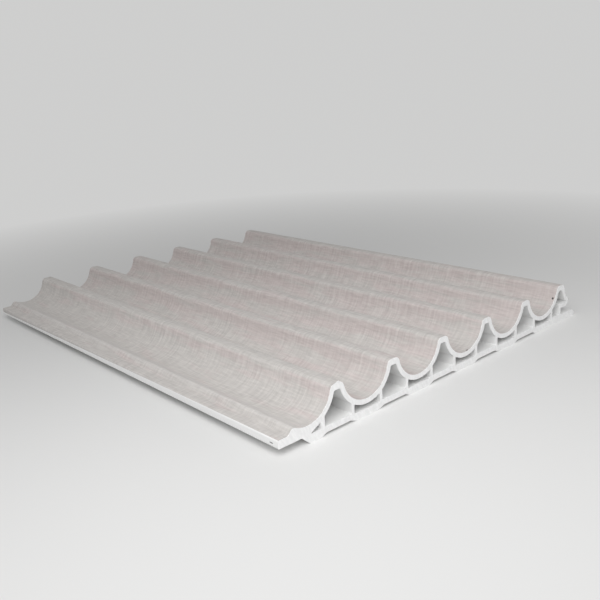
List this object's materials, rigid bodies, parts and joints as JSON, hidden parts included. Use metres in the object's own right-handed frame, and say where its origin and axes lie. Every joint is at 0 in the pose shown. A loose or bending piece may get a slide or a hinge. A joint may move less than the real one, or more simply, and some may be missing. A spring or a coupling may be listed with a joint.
{
  "type": "fluted wall panel",
  "caption": "Hollow extruded wall panel with concave flutes, a tongue along one long edge, a groove along the other and a printed linen film over its face.",
  "frame": {"origin": "middle of the panel's outline on the plane of its back feet", "axes": "+X across the flutes from the tongue edge to the groove edge, +Y along the flutes, +Z out of the fluted face"},
  "size_m": [0.2048, 0.257, 0.0194],
  "materials": {
    "white_composite": "white filled plastic, matt as extruded, ends as sawn",
    "linen_film": "printed film, grey-beige linen weave, matt"
  },
  "bodies": {
    "root": {"extruded_panel": "white_composite", "linen_film": "linen_film"}
  },
  "joints": []
}
